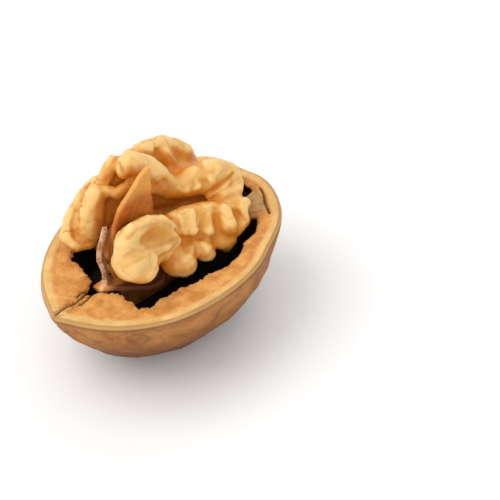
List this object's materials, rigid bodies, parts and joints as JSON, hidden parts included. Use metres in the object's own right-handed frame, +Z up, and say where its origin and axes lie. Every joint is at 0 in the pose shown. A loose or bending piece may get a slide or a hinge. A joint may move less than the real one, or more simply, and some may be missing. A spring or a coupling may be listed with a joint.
{
  "type": "walnut half",
  "caption": "Half of an opened walnut: the woody half shell with its pointed tip, the folded kernel standing out of it, and the papery partition between the kernel's lobes.",
  "frame": {"origin": "on the surface that the nut stands on, under the middle of its length and width", "axes": "+Z up, out of the opened shell; X along the nut with the pointed tip towards -X and the stem end towards +X; Y across the nut, in the plane of its rim"},
  "size_m": [0.0437, 0.0312, 0.0318],
  "materials": {
    "shell_wood": "matte",
    "kernel_skin": "satin",
    "partition_paper": "matte"
  },
  "bodies": {
    "root": {"shell_half": "shell_wood", "kernel_half": "kernel_skin", "septum": "partition_paper"}
  },
  "joints": []
}
